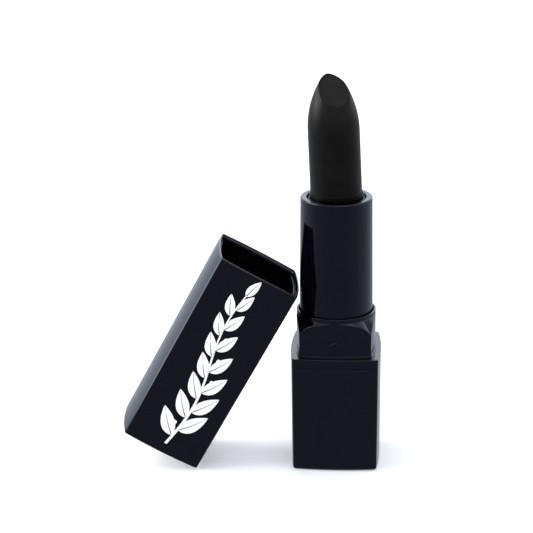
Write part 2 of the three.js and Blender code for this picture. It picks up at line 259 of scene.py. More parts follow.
base_sections = [
    *foot_sections(base_half(0), BASE_CORNER, FOOT_ROUND),
    *rim_sections(base_half(PARTING_Z), BASE_CORNER, SEAM_ROUND, PARTING_Z),
    (base_half(PARTING_Z) - BASE_WALL, INNER_CORNER, PARTING_Z),
    (base_half(BASE_FLOOR) - BASE_WALL, INNER_CORNER, BASE_FLOOR),
]
base_shell = make_piece("base_shell_fine", "base", [skin(square_rings(base_sections, BASE_BOW))])
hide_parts("base_shell")

# %% [markdown]
# ## The collar
# The collar is one moulding. At its foot is the square flange with the ledge that the cap closes on.
# Above that is a square plug with a round ring on top. A cone runs down from the ring and meets the flat
# faces of the plug in arches. Cutting a cone into a block with a Boolean would leave sharp arches.
# Here each point of the plug's outline gets its own small profile over the shoulder, so the arches come
# out by themselves, each with its polished round edge.

# %% Shoulder
PLUG_HALF = 9.4
PLUG_CORNER = 0.4
PLUG_BOW = 0.95
PLINTH_HALF = 9.58
PLINTH_HEIGHT = 0.45
RING_RADIUS = 9.42
RING_HEIGHT = 1.05
BORE = 8.95
SHOULDER_SLOPE = 0.617
ARCH_ROUND = 0.3
ARCH_SHARE = 0.45
ARCH_END = 10.6
ARCH_END_DROP = 0.85
RING_ROUND = 0.12
FLANGE_ROUND = 0.13
PARTING_GAP = 0.12
SKIRT_CLEARANCE = 0.12
SKIRT_CORNER = 0.3
PLINTH_ROUND = 0.1
NOOK = 0.12
NOOK_SHARE = 0.3
BORE_CHAMFER = 0.06

ring_foot_z = COLLAR_TOP - RING_HEIGHT
flange_z = PARTING_Z + PARTING_GAP
skirt_half = base_half(SKIRT_Z) - BASE_WALL - SKIRT_CLEARANCE
plinth_z = LEDGE_Z + PLINTH_HEIGHT


def shoulder_profile(reach):
    """(radius, height) points over the shoulder, for a point of the plug this far from the axis."""
    ring = min(reach, RING_RADIUS)
    run = max(reach - RING_RADIUS, 0.0)
    edge_z = ring_foot_z - run * SHOULDER_SLOPE
    edge_z -= ARCH_END_DROP * max(reach - ARCH_END, 0.0) ** 2
    size = min(ARCH_ROUND, ARCH_SHARE * run)
    length = math.hypot(1, SHOULDER_SLOPE)
    start = (reach, edge_z - size)
    end = (reach - size / length, edge_z + size * SHOULDER_SLOPE / length)
    nook = min(NOOK, NOOK_SHARE * run)
    outer_nook = (ring + nook, ring_foot_z - nook * SHOULDER_SLOPE)
    foot = curve_between(outer_nook, (ring, ring_foot_z), (ring, ring_foot_z + nook), 3)
    top = arc(ring - RING_ROUND, COLLAR_TOP - RING_ROUND, RING_ROUND, 0, 90, 4)
    return [*curve_between(start, (reach, edge_z), end, 6), *foot, *top]


print(f"ledge {LEDGE_Z:.2f}, ring foot {ring_foot_z:.2f}")
print("points over the shoulder:", len(shoulder_profile(PLUG_HALF)))

# %% [markdown]
# The rings of the collar start at the skirt inside the base, and go up over the flange, the low plinth,
# the plug and its shoulder. Then they come down the round bore, and the loop closes at the skirt.

# %% Collar rings


def at_radius(outline, radius, z):
    """A round ring whose points lie on the same rays as the outline's."""
    return [(x * radius / math.hypot(x, y), y * radius / math.hypot(x, y), z) for x, y in outline]


def collar_rings():
    """All rings of the collar, up the outside and down the bore."""
    flange_low = [
        (h, BASE_CORNER, 2 * flange_z + FLANGE_ROUND - z)
        for h, z in arc(base_half(flange_z) - FLANGE_ROUND, flange_z, FLANGE_ROUND, 90, 0, 4)
    ]
    base_part = [
        (skirt_half, SKIRT_CORNER, SKIRT_Z),
        (skirt_half, SKIRT_CORNER, flange_z),
        *flange_low,
        *rim_sections(base_half(LEDGE_Z), BASE_CORNER, FLANGE_ROUND, LEDGE_Z),
    ]
    plug_part = [
        (PLINTH_HALF, PLUG_CORNER, LEDGE_Z),
        *rim_sections(PLINTH_HALF, PLUG_CORNER, PLINTH_ROUND, plinth_z, 3),
        (PLUG_HALF, PLUG_CORNER, plinth_z),
    ]
    rings = square_rings(base_part, BASE_BOW) + square_rings(plug_part, PLUG_BOW)
    outline = square_outline(PLUG_HALF, PLUG_CORNER, PLUG_BOW)
    profiles = [shoulder_profile(math.hypot(x, y)) for x, y in outline]
    for level in range(len(profiles[0])):
        ring = []
        for (x, y), profile in zip(outline, profiles):
            reach = math.hypot(x, y)
            radius, z = profile[level]
            ring.append((x * radius / reach, y * radius / reach, z))
        rings.append(ring)
    rings.append(at_radius(outline, BORE + BORE_CHAMFER, COLLAR_TOP))
    rings.append(at_radius(outline, BORE, COLLAR_TOP - BORE_CHAMFER))
    rings.append(at_radius(outline, BORE, SKIRT_Z))
    return rings


# %% [markdown]
# A low round button on the plug's front and back gives the cap its click. Its polished edge shows only
# as a faint ring in the gloss. Above its middle sits a tiny dull disc, darker than the gloss: it is
# painted shade, standing in for the shade in a small pit. A shallow dome was another way, but it mirrors
# the light as a bright crescent, which a flat button doesn't.

# %% Snap buttons
BUTTON_RADIUS = 1.17
BUTTON_HEIGHT = 0.2
BUTTON_EDGE = 0.1
BUTTON_Z = 30.9
BUTTON_SUNK = 0.1
BUTTON_STEPS = 48
PIT_SHADE_RADIUS = 0.27
PIT_SHADE_RISE = 0.5
PIT_SHADE_PROUD = 0.01
PIT_SHADE_SUNK = 0.05


def disc_on_plug(side, centre_z, profile):
    """A round disc on the plug's face that looks towards side * Y, from its (radius, height) profile."""
    rings = [
        [(x, side * (PLUG_HALF + height), centre_z + z) for x, z, height in ring]
        for ring in turned_rings(profile, BUTTON_STEPS)
    ]
    return skin(rings)


button_profile = [
    (BUTTON_RADIUS, -BUTTON_SUNK),
    *arc(BUTTON_RADIUS - BUTTON_EDGE, BUTTON_HEIGHT - BUTTON_EDGE, BUTTON_EDGE, 0, 90, 4),
]
pit_shade_profile = [
    (PIT_SHADE_RADIUS, BUTTON_HEIGHT - PIT_SHADE_SUNK),
    (PIT_SHADE_RADIUS, BUTTON_HEIGHT),
    (PIT_SHADE_RADIUS - PIT_SHADE_PROUD, BUTTON_HEIGHT + PIT_SHADE_PROUD),
]
buttons = [disc_on_plug(side, BUTTON_Z, button_profile) for side in (-1, 1)]
# Two dull discs over the buttons are painted shade: their darker satin stands in for the shade in tiny
# pits.
pit_shade_discs = make_piece(
    "snap_pit_shade", "base", [disc_on_plug(side, BUTTON_Z + PIT_SHADE_RISE, pit_shade_profile) for side in (-1, 1)]
)

collar = make_piece("collar_fine", "base", [skin(collar_rings(), closed_loop=True), *buttons])
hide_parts("collar")

# %% [markdown]
# ## The sleeve
# The round tube is turned on a lathe of rings. It tapers slightly to the top. The rim turns inwards
# in a soft roll, and that roll catches the light all the way round.

# %% Sleeve
SLEEVE_FLANGE = 9.35
SLEEVE_FLANGE_HEIGHT = 1.0
SLEEVE_LOW_RADIUS = 8.77
SLEEVE_TOP_RADIUS = 8.45
SLEEVE_BORE = 7.95
LIP_RADIUS = 7.0
LIP_DEPTH = 1.2
RIM_ROUND = 0.3

sleeve_profile = [
    (SLEEVE_BORE, SLEEVE_LOW),
    (SLEEVE_FLANGE, SLEEVE_LOW),
    (SLEEVE_FLANGE, SLEEVE_LOW + SLEEVE_FLANGE_HEIGHT),
    (SLEEVE_LOW_RADIUS, SLEEVE_LOW + SLEEVE_FLANGE_HEIGHT),
    *arc(SLEEVE_TOP_RADIUS - RIM_ROUND, RIM_Z - RIM_ROUND, RIM_ROUND, 0, 90, 6),
    *arc(LIP_RADIUS + RIM_ROUND, RIM_Z - RIM_ROUND, RIM_ROUND, 90, 180, 6),
    (LIP_RADIUS, RIM_Z - LIP_DEPTH),
    (SLEEVE_BORE, RIM_Z - LIP_DEPTH),
]
sleeve = make_piece("sleeve_fine", "winder", [skin(turned_rings(sleeve_profile), closed_loop=True)])
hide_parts("sleeve")

# %% [markdown]
# ## The cup
# The cup grips the foot of the bullet and rides up and down in the sleeve. A thin lip on its brim shows
# above the rim, as a dark ring round the bullet. Its two lugs run in the spiral's grooves.

# %% Cup
CUP_RADIUS = 6.55
BRIM_RADIUS = 6.75
CUP_INNER = 6.15
CUP_FLOOR = 55.85
CUP_FOOT_ROUND = 0.35
CUP_HOLE = 0.6
BRIM_BAND = 6.0
BRIM_SLOPE = 0.6
BRIM_ROUND = 0.28
LIP_TOP = RIM_Z + 0.75
LIP_OUTER = 6.35
LIP_ROUND = 0.08
LUG_RADIUS = 0.7
LUG_EDGE = 0.12
LUG_ROOT = 0.1
LUG_STEPS = 32
LUG_REACH = box_mm("cup")[1].y
LUG_Z = 55.85

cup_profile = [
    (CUP_HOLE, CUP_LOW),
    *arc(CUP_RADIUS - CUP_FOOT_ROUND, CUP_LOW + CUP_FOOT_ROUND, CUP_FOOT_ROUND, -90, 0, 4),
    (CUP_RADIUS, BRIM_Z - BRIM_BAND),
    (BRIM_RADIUS, BRIM_Z - BRIM_BAND + BRIM_SLOPE),
    *arc(BRIM_RADIUS - BRIM_ROUND, BRIM_Z - BRIM_ROUND, BRIM_ROUND, 0, 90, 5),
    (LIP_OUTER, BRIM_Z),
    *arc(LIP_OUTER - LIP_ROUND, LIP_TOP - LIP_ROUND, LIP_ROUND, 0, 90, 3),
    (CUP_INNER, LIP_TOP),
    (CUP_INNER, CUP_FLOOR),
    (CUP_HOLE, CUP_FLOOR),
]


def lug(side):
    """A short round peg on the cup, pointing towards side * Y."""
    profile = [
        (LUG_RADIUS, CUP_INNER + LUG_ROOT),
        (LUG_RADIUS, LUG_REACH - LUG_EDGE),
        (LUG_RADIUS - LUG_EDGE, LUG_REACH),
    ]
    rings = turned_rings(profile, LUG_STEPS)
    return skin([[(x, side * out, LUG_Z + y) for x, y, out in ring] for ring in rings])


cup = make_piece("cup_fine", "carrier", [skin(turned_rings(cup_profile)), lug(-1), lug(1)])
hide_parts("cup")

# %% [markdown]
# ## The bullet
# The bullet is a stick of black wax with a domed nose and one slanting cut. A Boolean could make the
# cut, but it leaves a ragged edge that is hard to round. Instead each angle round the axis gets its own
# profile, which stops where the nose meets the slope. First come the numbers and the nose's shape: it
# swells a little towards its tip, and is a little flatter beside it.

# %% Nose
BULLET_RADIUS = 6.05
NOSE_Z = 80.55
NOSE_LENGTH = 16.1
NOSE_POWER = 2.16
CUT_Z = 92.0
CUT_RISE = math.tan(math.radians(42.4))
CUT_TURN = math.radians(17.5)
LIP_HIGH, LIP_LOW = 0.14, 0.55
CUT_HOLLOW = 0.14
TIP_ANGLE, TIP_SPREAD, TIP_SWELL = math.radians(124), math.radians(22), 0.08
FLAT_ANGLE, FLAT_SPREAD, FLAT_SINK = math.radians(62), math.radians(40), 0.1
SHAPE_START, SHAPE_RUN = 0.3, 0.5
LEAN = 0.042
NOSE_STEPS = 26
STEP_BACK = 0.002
HALVINGS = 40
BULLET_SHARP = math.radians(60)
BULLET_ROUND = 0.3
FOOT_MIDDLE = 0.6
HOLLOW_EDGE = 0.16
HOLLOW_RISE = 0.25
CUT_INSETS = (0.05, 0.1, HOLLOW_EDGE, 0.25, 0.4, 0.6, 0.8, 0.97)


def nose_shape(t, angle):
    """How much the nose swells towards its pointed tip, or sinks beside it."""
    share = min(max((t - SHAPE_START) / SHAPE_RUN, 0.0), 1.0)
    tip = math.exp(-((angle - TIP_ANGLE) / TIP_SPREAD) ** 2)
    flat = math.exp(-((angle - FLAT_ANGLE) / FLAT_SPREAD) ** 2)
    return 1 + share * share * (3 - 2 * share) * (TIP_SWELL * tip - FLAT_SINK * flat)


def nose_point(t, angle):
    """(radius, height) on the nose, from its foot at 0 to its missing tip at 1."""
    return BULLET_RADIUS * (1 - t ** NOSE_POWER) * nose_shape(t, angle), NOSE_Z + NOSE_LENGTH * t


def slope_z(radius, angle):
    """Height of the slanting cut at a point."""
    return CUT_Z - CUT_RISE * radius * math.cos(angle - (CUT_TURN - math.pi / 2))


print(f"nose from {NOSE_Z} to {NOSE_Z + NOSE_LENGTH:.2f}, cut through {CUT_Z}")

# %% [markdown]
# The cut is found by halving: the nose's side crosses the slope somewhere between foot and tip, and each
# step keeps the half that holds the crossing. There the surface rolls over a small round lip on to the
# cut, which is slightly hollow. The soft stick leans a little above its cup.

# %% Bullet


def cut_share(angle):
    """How far up the nose the cut meets it, at an angle round the axis."""
    low, high = 0.0, 1.0
    for _ in range(HALVINGS):
        middle = (low + high) / 2
        radius, z = nose_point(middle, angle)
        low, high = (middle, high) if z < slope_z(radius, angle) else (low, middle)
    return low


def bullet_profile(angle):
    """Points up the side of the bullet and over the lip, on to the cut."""
    share = cut_share(angle)
    radius, z = nose_point(share, angle)
    before, height_before = nose_point(share - STEP_BACK, angle)
    lowness = (1 + math.cos(angle - (CUT_TURN - math.pi / 2))) / 2
    lip_size = LIP_HIGH + (LIP_LOW - LIP_HIGH) * lowness ** 3
    step = Vector((radius - before, z - height_before)).normalized() * lip_size
    inward = Vector((-1.0, (CUT_Z - z) / radius)).normalized() * lip_size
    start = share - step.y / NOSE_LENGTH
    side = [nose_point(start * (i / NOSE_STEPS), angle) for i in range(NOSE_STEPS)]
    lip = curve_between((radius - step.x, z - step.y), (radius, z), (radius + inward.x, z + inward.y), 5)
    foot_arc = arc(BULLET_RADIUS - BULLET_ROUND, BULLET_LOW + BULLET_ROUND, BULLET_ROUND, -90, 0, 4)
    foot = [(FOOT_MIDDLE, BULLET_LOW), *foot_arc]
    return [*foot, (BULLET_RADIUS, BRIM_Z), *side, *lip]


def bullet_rings():
    """Rings up the bullet, then inwards over the cut to its middle."""
    angles = [2 * math.pi * i / TURN_STEPS for i in range(TURN_STEPS)]
    profiles = [bullet_profile(a) for a in angles]
    rings = []
    for level in range(len(profiles[0])):
        rings.append([
            (p[level][0] * math.cos(a), p[level][0] * math.sin(a), p[level][1])
            for a, p in zip(angles, profiles)
        ])
    edge = rings[-1]
    for inset in CUT_INSETS:
        depth = CUT_HOLLOW * min(inset / HOLLOW_EDGE, 1) * (1 - HOLLOW_RISE * inset)
        keep = 1 - inset
        rings.append([(x * keep, y * keep, CUT_Z + (z - CUT_Z) * keep - depth) for x, y, z in edge])
    return [[(x - max(z - BRIM_Z, 0) * LEAN, y, z) for x, y, z in ring] for ring in rings]


bullet = make_piece("bullet_fine", "carrier", [skin(bullet_rings())], sharp=BULLET_SHARP)
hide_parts("bullet")

# %% [markdown]
# ## The cap
# The cap is a thin square shell with a second, thinner cap inside it. It is built upright and then
# placed, because a leaning shape is hard to draw. It stands on the right edge of its closed end, a hair
# above the floor, and leans until its rim meets the sleeve. Its walls swell like those of the base.
# Inside the mouth the wall flares, to lead the cap on to the plug. At the end the fine mesh is compared
# with the plain solid, to show that both stand in the same place.

# %% Cap shell
CAP_LENGTH = 49.45
CLOSED_HALF = 10.38
MOUTH_HALF = 10.73
CAP_CORNER = 0.6
CAP_INNER_CORNER = 0.35
CAP_BOW = 0.65
CAP_WALL = 0.6
CAP_END = 1.0
CAP_EDGE = 0.35
MOUTH_ROUND = 0.3
LIP_WALL = 0.4
FLARE = 0.7
FLARE_EDGE = 0.15
CAP_TILT = math.radians(29)
CAP_YAW = math.radians(3.74)
CAP_X, CAP_Y = -33.0, -1.46
CAP_GAP = 0.12
LIP_BEVEL = 0.06

cap_z = CAP_EDGE * (1 - math.sin(CAP_TILT) - math.cos(CAP_TILT)) + CAP_GAP
cap_place = (
    Matrix.Translation((CAP_X, CAP_Y, cap_z))
    @ Matrix.Rotation(CAP_YAW, 4, "Z")
    @ Matrix.Rotation(CAP_TILT, 4, "Y")
    @ Matrix.Translation((-CLOSED_HALF, 0, 0))
)


def cap_half(z):
    """Half width of the cap, this far from its closed end."""
    return CLOSED_HALF + (MOUTH_HALF - CLOSED_HALF) * z / CAP_LENGTH


mouth_half = cap_half(CAP_LENGTH)
cap_sections = [
    *foot_sections(cap_half(0), CAP_CORNER, CAP_EDGE),
    *rim_sections(mouth_half, CAP_CORNER, MOUTH_ROUND, CAP_LENGTH, 8),
    (mouth_half - LIP_WALL + LIP_BEVEL, CAP_INNER_CORNER, CAP_LENGTH),
    (mouth_half - LIP_WALL, CAP_INNER_CORNER, CAP_LENGTH - LIP_BEVEL),
    (mouth_half - CAP_WALL, CAP_INNER_CORNER, CAP_LENGTH - FLARE),
    (mouth_half - CAP_WALL, CAP_INNER_CORNER, CAP_LENGTH - FLARE - FLARE_EDGE),
    (cap_half(CAP_END) - CAP_WALL, CAP_INNER_CORNER, CAP_END),
]
cap_shell = make_piece(
    "cap_shell_fine", "cap", [skin(square_rings(cap_sections, CAP_BOW))], placement=cap_place
)
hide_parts("cap_shell")

cap_low, cap_high = box_mm("cap_shell")
fine = [v.co / MM for v in cap_shell.data.vertices]
print("cap, plain solid:", [round(v, 2) for v in (*cap_low, *cap_high)])
print("cap, fine mesh:  ", [round(f(v[i] for v in fine), 2) for f in (min, max) for i in range(3)])

# %% [markdown]
# The liner is the inner cap that rubs on the plug. It stops a millimetre short of the mouth, which
# leaves a small step just inside the rim. It is made from sections like the shell, with its own wall.

# %% Cap liner
LINER_GAP = 0.1
LINER_WALL = 0.35
LINER_INSET = 1.0
LINER_LOW = CAP_END + 0.35
LINER_END = 0.6
LINER_CORNER = 0.3
LINER_ROUND = 0.07

liner_high = CAP_LENGTH - LINER_INSET
liner_out = CAP_WALL + LINER_GAP
liner_in = liner_out + LINER_WALL
inner_edge = arc(
    cap_half(liner_high) - liner_in + LINER_ROUND, liner_high - LINER_ROUND, LINER_ROUND, 90, 180, 3
)
liner_sections = [
    (cap_half(LINER_LOW) - liner_out, LINER_CORNER, LINER_LOW),
    *rim_sections(cap_half(liner_high) - liner_out, LINER_CORNER, LINER_ROUND, liner_high, 3),
    *[(h, LINER_CORNER, z) for h, z in inner_edge],
    (cap_half(LINER_LOW) - liner_in, LINER_CORNER, LINER_LOW + LINER_END),
]
cap_liner = make_piece(
    "cap_liner_fine", "cap", [skin(square_rings(liner_sections, CAP_BOW))], placement=cap_place
)
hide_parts("cap_liner")

# %% [markdown]
# ## The printed ornament
# A plain leaf sprig is printed in white along the cap's front. An image texture could show it, but a
# mesh stays sharp at any distance. Ink has a real thickness, so each leaf is a very thin solid that
# follows the swelling face. A leaf is made of two halves with a fine gap between them for its vein.

# %% Ink on the face
INK = 0.02
INK_DEPTH = 0.01
STEM_START, STEM_END = 2.6, 47.4


def on_face(x, z, rise):
    """A point on the cap's front face, lifted off it by rise."""
    half = cap_half(z)
    reach = corner_place(half, CAP_CORNER, CAP_BOW)[2]
    return x, -(half - CAP_BOW * (x / reach) ** 2) - rise, z


def ink_strip(rows):
    """A thin solid over the face. Each row is the same number of (x, z) points across the strip."""
    across = len(rows[0])
    top = [on_face(x, z, INK) for row in rows for x, z in row]
    under = [on_face(x, z, -INK_DEPTH) for row in rows for x, z in row]
    faces = []
    for r in range(len(rows) - 1):
        for c in range(across - 1):
            a = r * across + c
            faces.append((a, a + 1, a + across + 1, a + across))
            b = a + len(top)
            faces.append((b, b + across, b + across + 1, b + 1))
    last = (len(rows) - 1) * across
    rim = [*range(across), *range(2 * across - 1, last + across, across)]
    rim += [*range(last + across - 2, last - 1, -1), *range(last - across, 0, -across)]
    for i, a in enumerate(rim):
        b = rim[(i + 1) % len(rim)]
        faces.append((b, a, a + len(top), b + len(top)))
    return top + under, faces


print("ink stands proud by", INK, "mm")

# %% [markdown]
# A leaf follows its rib, which curls a little. Its width is a bent sine, widest near the foot, and each
# half stops short of the rib to leave the vein bare. A berry is a disc made of the same thin strips.

# %% Leaves and berries
LEAF_ROWS = 18
LEAF_ENDS = 0.004
LEAF_BIAS = 0.78
LEAF_FULLNESS = 0.85
VEIN_FOOT, VEIN_TIP = 0.09, 0.03
VEIN_SHARE = 0.4
BERRY_ROWS = 12
BERRY_ENDS = 0.02


def half_leaf(base, angle, length, width, side, curl):
    """One half of a pointed leaf. The angle is measured from the cap's length."""
    along = Vector((math.sin(angle), math.cos(angle)))
    aside = Vector((math.cos(angle), -math.sin(angle)))
    rows = []
    for i in range(LEAF_ROWS + 1):
        s = LEAF_ENDS + (1 - 2 * LEAF_ENDS) * i / LEAF_ROWS
        rib = Vector(base) + along * length * s + aside * curl * length * s * s
        outer = width / 2 * math.sin(math.pi * s ** LEAF_BIAS) ** LEAF_FULLNESS
        inner = min(VEIN_FOOT * (1 - s) + VEIN_TIP, VEIN_SHARE * outer)
        rows.append([tuple(rib + aside * side * (inner + (outer - inner) * c / 3)) for c in range(4)])
    return ink_strip(rows)


def berry(x, z, radius):
    """A small round dot."""
    rows = []
    for i in range(BERRY_ROWS + 1):
        a = math.pi * (BERRY_ENDS + (1 - 2 * BERRY_ENDS) * i / BERRY_ROWS)
        reach = radius * math.sin(a)
        rows.append([(x + reach * (c / 2 - 1), z - radius * math.cos(a)) for c in range(5)])
    return ink_strip(rows)


print("faces in half a leaf:", len(half_leaf((0, 20), 0, 5, 2, 1, 0)[1]))

# %% [markdown]
# The stem has a gentle double bend. Leaves stand on it in pairs that get smaller and more upright towards
# the top, with a berry between one pair and the next, and one last leaf at the tip.

# %% Sprig
STEM_ROWS = 60
STEM_BARE = 3.2
STEM_BEND = 1.5
STEM_HALF, STEM_TAPER = 0.34, 0.2
LEAF_PAIRS = 7
PAIR_STEP = 5.5
RIGHT_UP, LEFT_DOWN = 1.2, -0.6
LEAF_LENGTH, LEAF_WIDTH, LEAF_CURL = 7.6, 3.4, 0.12
LEAF_SHRINK = 0.05
LEAF_ANGLE, LEAF_TURN = 46, 2.5
LEAF_ROOT = 0.28
BERRY_UP, BERRY_OUT, BERRY_RADIUS = 3.3, 1.7, 0.5
LAST_LEAF = (0.25, 5.0, 2.2)
LAST_FOOT = 3.3
LAST_CURL = 0.06


def stem_x(z):
    """The stem's gentle double bend."""
    return STEM_BEND * math.sin(2 * math.pi * (z - STEM_START) / (STEM_END - STEM_START))


def sprig():
    """All parts of the sprig."""
    stem = []
    for i in range(STEM_ROWS + 1):
        z = STEM_START + (STEM_END - STEM_START - STEM_BARE) * i / STEM_ROWS
        half = STEM_HALF - STEM_TAPER * i / STEM_ROWS
        stem.append([(stem_x(z) - half, z), (stem_x(z), z), (stem_x(z) + half, z)])
    parts = [ink_strip(stem)]
    for i in range(LEAF_PAIRS):
        for side in (-1, 1):
            z = STEM_START + STEM_BARE + i * PAIR_STEP + (RIGHT_UP if side > 0 else LEFT_DOWN)
            size = 1.0 - LEAF_SHRINK * i
            angle = side * math.radians(LEAF_ANGLE - LEAF_TURN * i)
            base = (stem_x(z) + side * LEAF_ROOT, z)
            for half in (-1, 1):
                parts.append(half_leaf(
                    base, angle, LEAF_LENGTH * size, LEAF_WIDTH * size, half, -LEAF_CURL * side
                ))
            if i < LEAF_PAIRS - 1:
                parts.append(berry(stem_x(z + BERRY_UP) + side * BERRY_OUT, z + BERRY_UP, BERRY_RADIUS))
    foot_z = STEM_END - LAST_FOOT
    for half in (-1, 1):
        parts.append(half_leaf((stem_x(foot_z), foot_z), *LAST_LEAF, half, LAST_CURL))
    return parts


ornament = make_piece("cap_ornament", "cap", sprig(), placement=cap_place)

# %% [markdown]
# ## Finishes
# Each finish is one node material. Noise in the object's own coordinates changes the roughness and
# lifts the surface by a few thousandths of a millimetre. That is what separates a real polished moulding
# from a perfect one: reflections waver slightly, and rubbed patches are a little duller.

# %% Starting a finish


def start_material(name, color, roughness, ior=1.5, metallic=0.0):
    """A new material with a Principled shader. Returns the material and its shader node."""
    material = bpy.data.materials.new(name)
    material.use_nodes = True
    shader = material.node_tree.nodes["Principled BSDF"]
    shader.inputs["Base Color"].default_value = (*color, 1)
    shader.inputs["Roughness"].default_value = roughness
    shader.inputs["IOR"].default_value = ior
    shader.inputs["Metallic"].default_value = metallic
    return material, shader


def noise(material, per_metre, detail=3.0, stretch=(1, 1, 1)):
    """A noise pattern in the piece's own coordinates. Returns its value socket."""
    nodes, links = material.node_tree.nodes, material.node_tree.links
    where = nodes.new("ShaderNodeTexCoord")
    scale = nodes.new("ShaderNodeMapping")
    scale.inputs["Scale"].default_value = stretch
    pattern = nodes.new("ShaderNodeTexNoise")
    pattern.inputs["Scale"].default_value = per_metre
    pattern.inputs["Detail"].default_value = detail
    links.new(where.outputs["Object"], scale.inputs["Vector"])
    links.new(scale.outputs["Vector"], pattern.inputs["Vector"])
    return pattern.outputs["Fac"]


print("a finish starts with a Principled shader, in its own coordinates")

# %% [markdown]
# A noise value alone does nothing. It has to drive something: a number such as roughness, a colour
# between two close tones, or the height of the surface. Bump nodes are chained, so that coarse and fine
# relief add up.

# %% Letting noise drive a finish


def vary_number(material, value, socket, low, high, start=0.3, end=0.7):
    """Lets a pattern move a shader number between low and high."""
    nodes, links = material.node_tree.nodes, material.node_tree.links
    spread = nodes.new("ShaderNodeMapRange")
    spread.inputs["From Min"].default_value = start
    spread.inputs["From Max"].default_value = end
    spread.inputs["To Min"].default_value = low
    spread.inputs["To Max"].default_value = high
    links.new(value, spread.inputs["Value"])
    links.new(spread.outputs["Result"], socket)


def vary_color(material, value, socket, low, high):
    """Lets a pattern move a colour between two close tones."""
    nodes, links = material.node_tree.nodes, material.node_tree.links
    ramp = nodes.new("ShaderNodeValToRGB")
    ramp.color_ramp.elements[0].position = 0.35
    ramp.color_ramp.elements[0].color = (*low, 1)
    ramp.color_ramp.elements[1].position = 0.65
    ramp.color_ramp.elements[1].color = (*high, 1)
    links.new(value, ramp.inputs["Fac"])
    links.new(ramp.outputs["Color"], socket)


def lift(material, shader, value, distance_mm, strength):
    """Raises and lowers the surface by a pattern. Several lifts add up."""
    nodes, links = material.node_tree.nodes, material.node_tree.links
    bump = nodes.new("ShaderNodeBump")
    bump.inputs["Strength"].default_value = strength
    bump.inputs["Distance"].default_value = distance_mm * MM
    before = shader.inputs["Normal"].links
    if before:
        links.new(before[0].from_socket, bump.inputs["Normal"])
    links.new(value, bump.inputs["Height"])
    links.new(bump.outputs["Normal"], shader.inputs["Normal"])


def tell(material):
    """Prints how many nodes a finish has."""
    print(f"{material.name}: {len(material.node_tree.nodes)} nodes")


# %% [markdown]
# ### Gloss black
# The outside is black plastic, polished like a mirror, with a slightly blue tone. The reflection is
# weak head-on and strong at a grazing angle, which is what makes the edges shine. Patches a few
# millimetres wide are a little duller from handling.

# %% Gloss black
gloss_black, shader = start_material("gloss_black_plastic", (0.0011, 0.0008, 0.0022), 0.06, ior=1.45)
shader.inputs["Specular Tint"].default_value = (0.8, 0.86, 1.0, 1)
vary_color(gloss_black, noise(gloss_black, 90), shader.inputs["Base Color"],
           (0.0009, 0.0006, 0.0018), (0.0014, 0.001, 0.0027))
vary_number(gloss_black, noise(gloss_black, 160, detail=5), shader.inputs["Roughness"], 0.04, 0.085)
lift(gloss_black, shader, noise(gloss_black, 110, detail=1), 0.02, 0.12)
lift(gloss_black, shader, noise(gloss_black, 2600, detail=2), 0.002, 0.06)
tell(gloss_black)

# %% [markdown]
# ### Satin black
# The liner, the cup and the other inner mouldings are the same black, but straight from a plain tool, so
# they are duller and show a very fine grain. The tiny discs on the snap buttons wear it too, as painted
# shade that stands in for the shade in small pits.

# %% Satin black
satin_black, shader = start_material("satin_black_plastic", (0.0012, 0.001, 0.002), 0.35, ior=1.15)
vary_color(satin_black, noise(satin_black, 120), shader.inputs["Base Color"],
           (0.001, 0.0008, 0.0016), (0.0016, 0.0014, 0.0026))
vary_number(satin_black, noise(satin_black, 400, detail=5), shader.inputs["Roughness"], 0.22, 0.34)
lift(satin_black, shader, noise(satin_black, 6000, detail=3), 0.006, 0.25)
tell(satin_black)

# %% [markdown]
# ### Wax
# The bullet is pigmented wax: neutral black, with a soft sheen instead of a mirror. Fine grain breaks
# the sheen up, and long faint streaks run the way it left the mould. Slow swells keep it from looking
# turned.

# %% Wax
wax, shader = start_material("black_wax", (0.0028, 0.0028, 0.0027), 0.36, ior=1.25)
shader.inputs["Specular Tint"].default_value = (1.0, 0.95, 0.89, 1)
vary_color(wax, noise(wax, 300, detail=4), shader.inputs["Base Color"],
           (0.0022, 0.0022, 0.0021), (0.0033, 0.0033, 0.0032))
vary_number(wax, noise(wax, 500, detail=5), shader.inputs["Roughness"], 0.3, 0.42)
lift(wax, shader, noise(wax, 200, detail=2), 0.05, 0.2)
lift(wax, shader, noise(wax, 1500, detail=3, stretch=(1, 1, 0.04)), 0.01, 0.2)
lift(wax, shader, noise(wax, 9000, detail=3), 0.006, 0.4)
tell(wax)

# %% [markdown]
# ### White ink
# Screen ink is matt and not quite even: it is a touch thinner here and there.

# %% White ink
ink, shader = start_material("white_ink", (0.86, 0.86, 0.85), 0.45)
vary_color(ink, noise(ink, 900, detail=4), shader.inputs["Base Color"],
           (0.82, 0.82, 0.81), (0.9, 0.9, 0.9))
vary_number(ink, noise(ink, 2500, detail=3), shader.inputs["Roughness"], 0.38, 0.55)
lift(ink, shader, noise(ink, 5000, detail=3), 0.004, 0.4)
tell(ink)

# %% [markdown]
# ### The hidden pieces
# The spiral is natural white plastic, the drag ring is rubber, and the slug in the foot is cut steel.
# They keep their CAD shapes, and only get finishes.

# %% Hidden finishes
natural, shader = start_material("natural_plastic", (0.75, 0.74, 0.7), 0.45)
vary_color(natural, noise(natural, 250), shader.inputs["Base Color"],
           (0.72, 0.71, 0.66), (0.8, 0.79, 0.75))
vary_number(natural, noise(natural, 600), shader.inputs["Roughness"], 0.38, 0.52)
lift(natural, shader, noise(natural, 4000), 0.005, 0.3)
tell(natural)

rubber, shader = start_material("black_rubber", (0.02, 0.02, 0.02), 0.8)
vary_color(rubber, noise(rubber, 900), shader.inputs["Base Color"],
           (0.015, 0.015, 0.015), (0.028, 0.028, 0.027))
vary_number(rubber, noise(rubber, 1500), shader.inputs["Roughness"], 0.7, 0.9)
lift(rubber, shader, noise(rubber, 7000), 0.01, 0.5)
tell(rubber)

